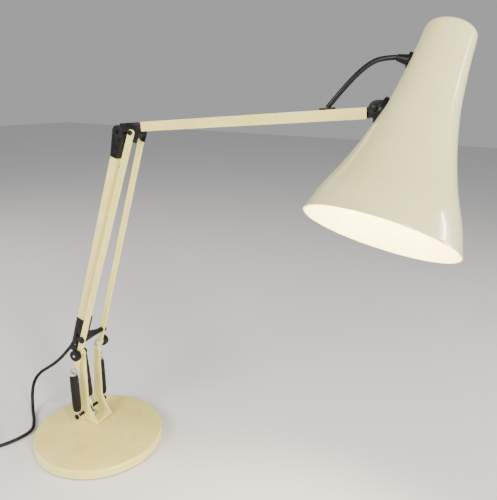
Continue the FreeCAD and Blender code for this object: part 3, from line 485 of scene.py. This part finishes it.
def make_spring(name, bottom, top, pin_radii, bodies, hand_over=0.7):
    """A tension spring in its rubber sleeve.

    With three bodies it is made in two lengths that meet at hand_over of the way up."""
    sleeve_node = name + "_sleeve"
    way = (top - bottom).normalized()
    low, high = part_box(sleeve_node)
    length = (top - bottom).length
    slope = way.z
    sleeve_from = (low.z - bottom.z) / slope
    sleeve_to = (high.z - bottom.z) / slope
    coil_radius = 4.6 * MM
    line = spring_line(bottom, top, coil_radius, pin_radii, sleeve_from - 4 * MM,
                       sleeve_to + 4 * MM)
    wires = [line]
    if len(bodies) == 3:
        meet = next(number for number, point in enumerate(line)
                    if (point - bottom).dot(way) > length * hand_over)
        wires = [line[:meet + 1], line[meet:]]
    for number, part in enumerate(wires):
        wire = tube(f"{name}_spring_wire_{number + 1}", part, WIRE, 8)
        bend_piece(wire, name + "_spring", number)
    turn = axes(bottom, way, Y_WAY)
    spin = turn @ Matrix.Rotation(math.radians(90), 4, "Y")
    outer = SLEEVE_RADIUS
    end_radius = outer - 1.1 * MM
    bore = 5.5 * MM
    lip = 0.5 * MM
    outline = [(bore, sleeve_from)] + arc(end_radius - lip, sleeve_from + lip, lip, -90, 0, 4)
    rows = 16
    for row in range(1, rows):
        share = row / rows
        taper = min(1, share / 0.16, (1 - share) / 0.12) ** 0.6
        wrinkle = 0.1 * MM * math.sin(share * math.pi * 7)
        outline.append((end_radius + (outer - end_radius) * taper + wrinkle,
                        sleeve_from + (sleeve_to - sleeve_from) * share))
    outline += arc(end_radius - lip, sleeve_to - lip, lip, 0, 90, 4) + [(bore, sleeve_to)]
    outlines = [outline]
    if len(bodies) == 3:
        cut = length * hand_over
        below = [point for point in outline if point[1] < cut]
        above = [point for point in outline if point[1] >= cut]
        outlines = [below + [(outer, cut), (bore, cut)], [(bore, cut), (outer, cut)] + above]
    for number, part in enumerate(outlines):
        sleeve = lathe(f"{name}_sleeve_tube_{number + 1}", part + [part[0]], spin, 40)
        bend_piece(sleeve, sleeve_node, number)


def bend_piece(piece, node, number):
    """Only the first length of a spring or sleeve stands for its CAD node."""
    if number == 0:
        finish_piece(piece, None, node)
    else:
        finish_piece(piece, None, slot=SLOT_OF[node])
    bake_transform(piece)


def middle_of(node):
    low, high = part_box(node)
    return (low + high) / 2


def make_springs():
    rod_middle = middle_of("spring_anchor_rod")
    tail = LOWER @ Vector((-30 * MM, 0, 0))
    for name, side in (("near", -1), ("far", 1)):
        shift = Vector((0, side * 30 * MM, 0))
        bottom = rod_middle + shift
        make_spring(name, bottom, tail + shift, (2.7 * MM, 2 * MM), ("fork", "lower_arm"))
    pin = PIVOT @ Vector((-17.5 * MM, 0, -3.8 * MM))
    make_spring("centre", rod_middle, pin, (2.7 * MM, 2 * MM),
                ("fork", "lower_arm", "bell_crank"))


# ---- arms ---------------------------------------------------------------------------------

def make_arms():
    for node in ("near_bar", "far_bar"):
        rounded(node, 0.5, 3)
    for node in ("rear_tube", "upper_tube"):
        rounded(node, 0.7, 4)
    for node in ("arm_spreader", "lower_fitting", "upper_fitting", "elbow_moulding", "bell_crank"):
        rounded(node, 0.6, 3)
    for node in ("spreader_caps", "tail_pins", "elbow_bolt", "crank_pins", "link_screws",
                 "strain_relief", "inner_cord_lower", "inner_cord_upper", "top_link_pin",
                 "cord_grommet", "arm_end_plug"):
        rounded(node, 0.25)


# ---- head ---------------------------------------------------------------------------------

SHADE_OUTLINE = ((0, 82), (27.5, 73.2), (64, 57.7), (103, 45), (142, 36), (183, 30.5), (223.9, 27.2))


def make_shade():
    """The spun shade: one paint outside, a paler one inside, and a thin rolled lip painted yellow, a painted glow
    of its lit edge.
    """
    wall = 0.8 * MM
    edge = 5 * MM
    curve = [(point[1] * MM, point[0] * MM) for point in smooth_line(SHADE_OUTLINE)]
    top = SHADE_LENGTH
    hole = 7.9 * MM
    outer = curve + arc(curve[-1][0] - edge, top - edge, edge, 0, 90, 6)[1:] + [(hole, top)]
    inner = [(hole, top - wall)] + arc(curve[-1][0] - edge, top - edge, edge - wall, 90, 0, 6)
    inner += [(radius - wall, height) for radius, height in reversed(curve)]
    lip = arc(curve[0][0] - wall / 2, 0, wall * 0.75, 180, 360, 6)
    outline = lip + outer[1:] + inner[:-1] + [lip[0]]
    shade = lathe("shade_spun", outline, SHADE, 192)
    shade.data.materials.append(SHADE_OUTSIDE)
    shade.data.materials.append(SHADE_INSIDE)
    shade.data.materials.append(RIM_PAINTED_GLOW)
    back = SHADE.inverted()
    radius_at = lambda height: next((a[0] + (b[0] - a[0]) * (height - a[1]) / (b[1] - a[1])
                                     for a, b in zip(curve, curve[1:]) if a[1] <= height <= b[1]),
                                    curve[-1][0])
    for face in shade.data.polygons:
        middle = back @ face.center
        away = math.hypot(middle.x, middle.y)
        inside = away < radius_at(middle.z) - wall / 2 if middle.z < top - edge else (
            (back.to_3x3() @ face.normal).dot(Vector((middle.x, middle.y, 30 * MM))) < 0)
        # Lip faces get the yellow painted glow, the rest the outside or inside paint.
        face.material_index = 2 if middle.z < 0.5 * MM else (1 if inside else 0)
    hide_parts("shade")
    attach(shade, "shade")


def make_bulb():
    """The blown glass of an A60 bulb, up to the neck of its screw cap."""
    neck = 13.0 * MM
    crown = 113 * MM - 30 * MM
    outline = [(0, crown)] + arc(0, 113 * MM, 30 * MM, -84, 24, 22)
    outline += [(Vector(point).x, Vector(point).y) for point in smooth_line(
        ((27.4 * MM, 125.2 * MM), (22.6 * MM, 138 * MM), (17 * MM, 151 * MM), (neck, 165 * MM)), 6)][1:]
    finish_piece(lathe("bulb_glass_blown", outline, SHADE, 64), "shade", "bulb_glass")


def make_disc():
    """The serrated swivel disc between the knuckle and the shade."""
    low, high = 1.0 * MM, 2.2 * MM
    radius = 15 * MM
    outline = [(0, low), (radius - 0.2 * MM, low), (radius, low + 0.3 * MM),
               (radius, high - 0.3 * MM), (radius - 0.2 * MM, high), (0, high)]
    teeth = 48
    wave = lambda row, angle: (-0.35 * MM * (0.5 + 0.5 * math.cos(teeth * angle))
                               if 1 <= row <= 4 else 0)
    turn = HEAD @ Matrix.Rotation(math.radians(90), 4, "Y")
    finish_piece(lathe("swivel_disc_serrated", outline, turn, 192, wave), "head_knuckle",
                 "swivel_disc")


def make_head():
    make_shade()
    make_bulb()
    make_disc()
    rounded("head_knuckle", 0.8, 4)
    for node in ("tilt_bolt", "swivel_stud", "stud_nut", "shade_saddle", "cord_gland",
                 "lampholder", "bulb_cap", "switch_body", "switch_button"):
        rounded(node, 0.3)


# ---- cords --------------------------------------------------------------------------------

DROP_ROUTE = ((-68.4, 23.2, 139.15), (-89, 23.2, 114.6), (-111.5, 23.2, 93.5), (-131, 23.2, 78.8),
              (-148, 20.5, 66.5), (-157.5, 14.5, 50), (-158.5, 9, 30), (-155, 4.5, 12),
              (-143, -6.5, 2.75))
FLOOR_ROUTE = ((-125.3, -19.8, 2.75), (-104.3, -41.8, 2.75), (-109.3, -73.8, 2.75),
               (-125.3, -104, 2.75))
HEAD_LOOP = ((355.5, 26.5, 546), (367, 30.5, 560.5), (379, 35.5, 573), (391.5, 41.5, 580.5))
COIL_MIDDLE = Vector((-179, -113.5, 0))
TURN_POINTS = 16
COIL_START = math.radians(-35.5)
TAIL_ANGLE = math.radians(200)
TAIL_RADIUS = 44.5
TAIL_RISE = ((12, 2.9), (25, 5.5), (36, 6.85))
# each stretch of the coil: turns, first and last radius, first and last height
COIL_STRETCHES = ((0.85, 38.6, 38.6, 2.75, 2.75), (0.15, 38.6, 33, 2.75, 2.75),
                  (0.85, 33, 33, 2.75, 2.75), (0.15, 33, 27.3, 2.75, 2.75),
                  (0.8, 27.3, 27.3, 2.75, 2.75), (0.2, 27.3, 30.1, 2.75, 7.7),
                  (0.85, 30.1, 30.1, 7.7, 7.7), (0.15, 30.1, 35.8, 7.7, 7.7),
                  (0.8, 35.8, 35.8, 7.7, 7.7), (0.2, 35.8, 33, 7.7, 12.9),
                  (0.7, 33, 33, 12.9, 12.9), (0.15, 33, 39, 12.9, 13.2),
                  (0.15, 39, 39.8, 13.2, 12.8), (0.2, 39.8, 44.5, 12.8, 2.9),
                  (0.146, 44.5, 44.5, 2.75, 2.75))


def coil_points(start_angle):
    """Control points of the stored turns, wound clockwise seen from above."""
    points = []
    done = 0.0
    for turns, first, last, low, high in COIL_STRETCHES:
        count = max(2, round(turns * TURN_POINTS))
        for step in range(count):
            share = step / count
            angle = start_angle - 2 * math.pi * (done + turns * share)
            radius = first + (last - first) * share
            height = low + (high - low) * share
            points.append(COIL_MIDDLE + Vector((radius * math.cos(angle),
                                                radius * math.sin(angle), height)))
        done += turns
    return points


def nurbs_line(name, points, per_span):
    """Points read from one smooth NURBS line over the route's points."""
    curve = bpy.data.curves.new(name, "CURVE")
    curve.dimensions = "3D"
    curve.resolution_u = per_span
    spline = curve.splines.new("NURBS")
    spline.points.add(len(points) - 1)
    for point, place in zip(spline.points, points):
        point.co = (*place, 1)
    spline.order_u = 3
    spline.use_endpoint_u = True
    holder = bpy.data.objects.new(name, curve)
    bpy.context.scene.collection.objects.link(holder)
    bpy.context.view_layer.update()
    mesh = bpy.data.meshes.new_from_object(holder)
    line = [vertex.co.copy() for vertex in mesh.vertices]
    bpy.data.objects.remove(holder)
    bpy.data.meshes.remove(mesh)
    return line


def line_length(line):
    return sum((b - a).length for a, b in zip(line, line[1:]))


def cord_piece(name, line, nodes, bodies):
    piece = tube(name, line, CORD_RADIUS, 16)
    finish_piece(piece, None, *nodes, slot="cord_sheath")
    if len(bodies) == 2:
        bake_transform(piece)
    else:
        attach(piece, bodies[0])
    return piece


def split(line, count):
    """Cut a line into stretches of about equal length that share their end points."""
    whole = line_length(line)
    pieces = [[line[0]]]
    run = 0.0
    for a, b in zip(line, line[1:]):
        run += (b - a).length
        pieces[-1].append(b)
        if run > whole * len(pieces) / count and len(pieces) < count:
            pieces.append([b])
    return pieces


def make_mains_cord():
    out = Vector((math.cos(TAIL_ANGLE), math.sin(TAIL_ANGLE), 0))
    along = Vector((math.sin(TAIL_ANGLE), -math.cos(TAIL_ANGLE), 0))
    tail_start = COIL_MIDDLE + TAIL_RADIUS * out
    tail = [tail_start + along * reach + Z_WAY * rise for reach, rise in TAIL_RISE]
    route = [Vector(point) for point in DROP_ROUTE + FLOOR_ROUTE]
    route += coil_points(COIL_START) + tail
    line = nurbs_line("mains_route", [point * MM for point in route], 8)
    landing = min(range(len(line)), key=lambda i: (line[i] - Vector(DROP_ROUTE[-1]) * MM).length)
    hanging = split(line[:landing + 1], 4)
    bodies = (("rear_link", "bell_crank"), ("bell_crank", "lower_arm"), ("lower_arm", "fork"),
              ("fork", "base"))
    for index, (stretch, pair) in enumerate(zip(hanging, bodies)):
        cord_piece(f"mains_cord_hanging_{index + 1}", stretch,
                   ("mains_cord_drop",) if index == 0 else (), pair)
    cord_piece("mains_cord_lying", line[landing:], ("mains_cord_floor", "cord_coil"), ("base",))


def make_head_cord():
    exit_point = UPPER @ Vector((263 * MM, 0, 14.7 * MM))
    gland_tip = SHADE @ Vector((-44.4 * MM, 0, 187 * MM))
    route = [exit_point] + [Vector(point) * MM for point in HEAD_LOOP] + [gland_tip]
    line = nurbs_line("head_route", route, 12)
    first, second = split(line, 2)
    cord_piece("head_cord_lower", first, ("head_cord",), ("upper_arm", "head_knuckle"))
    cord_piece("head_cord_upper", second, (), ("head_knuckle", "shade"))


def make_cords():
    rounded("plug_body", 2.2, 5)
    rounded("plug_pins", 0.8, 4)
    make_mains_cord()
    make_head_cord()


# ---- stage --------------------------------------------------------------------------------

def make_floor():
    floor = mesh_object("floor", [(-6, -6, 0), (6, -6, 0), (6, 6, 0), (-6, 6, 0)], [(0, 1, 2, 3)])
    pale = Shader("pale_floor")
    pale.join(pale.blend(pale.noise(3, 3), (0.72, 0.71, 0.70), (0.76, 0.75, 0.74)), "Base Color")
    floor.data.materials.append(pale.set(Roughness=0.6).material)


def area_light(name, place, aim, size, power, colour):
    """A soft box; size is its width and height."""
    data = bpy.data.lights.new(name, "AREA")
    data.shape = "RECTANGLE"
    data.size, data.size_y = size
    data.energy = power
    data.color = colour
    light = bpy.data.objects.new(name, data)
    light.location = place
    light.rotation_euler = (Vector(aim) - Vector(place)).to_track_quat("-Z", "Y").to_euler()
    bpy.context.scene.collection.objects.link(light)


def make_lights():
    world = bpy.data.worlds.new("studio")
    world.use_nodes = True
    background = world.node_tree.nodes["Background"]
    background.inputs["Color"].default_value = (0.95, 0.95, 0.97, 1)
    background.inputs["Strength"].default_value = 0.42
    bpy.context.scene.world = world
    aim = (0.25, 0, 0.4)
    area_light("window", (1.7, -0.9, 0.9), aim, (0.35, 1.6), 58, (1, 0.98, 0.93))
    area_light("front", (-0.5, -2.0, 1.3), aim, (1.2, 0.9), 62, (1, 0.97, 0.91))
    area_light("strip", (1.8, 0.7, 0.5), (0.45, -0.03, 0.45), (0.1, 1.1), 26, (1, 0.98, 0.94))
    area_light("left", (-1.6, -0.4, 1.1), aim, (0.8, 1.2), 20, (1, 0.98, 0.95))


CAMERA_PLACE = Vector((525.9, -545.0, 543.0)) * MM
CAMERA_TARGET = Vector((242.66, 38.15, 345.76)) * MM
CAMERA_ROLL = math.radians(1.33)


def make_camera():
    data = bpy.data.cameras.new("camera")
    data.lens = 37.42
    data.sensor_width = 36
    ahead = (CAMERA_TARGET - CAMERA_PLACE).normalized()
    right = ahead.cross(Z_WAY).normalized()
    up = right.cross(ahead)
    turned_right = right * math.cos(CAMERA_ROLL) + up * math.sin(CAMERA_ROLL)
    turned_up = up * math.cos(CAMERA_ROLL) - right * math.sin(CAMERA_ROLL)
    camera = bpy.data.objects.new("camera", data)
    matrix = Matrix((turned_right, turned_up, -ahead)).transposed().to_4x4()
    matrix.translation = CAMERA_PLACE
    camera.matrix_world = matrix
    bpy.context.scene.collection.objects.link(camera)
    bpy.context.scene.camera = camera


make_camera()
make_floor()
make_lights()
make_base()
make_fork()
make_springs()
make_arms()
make_head()
make_cords()
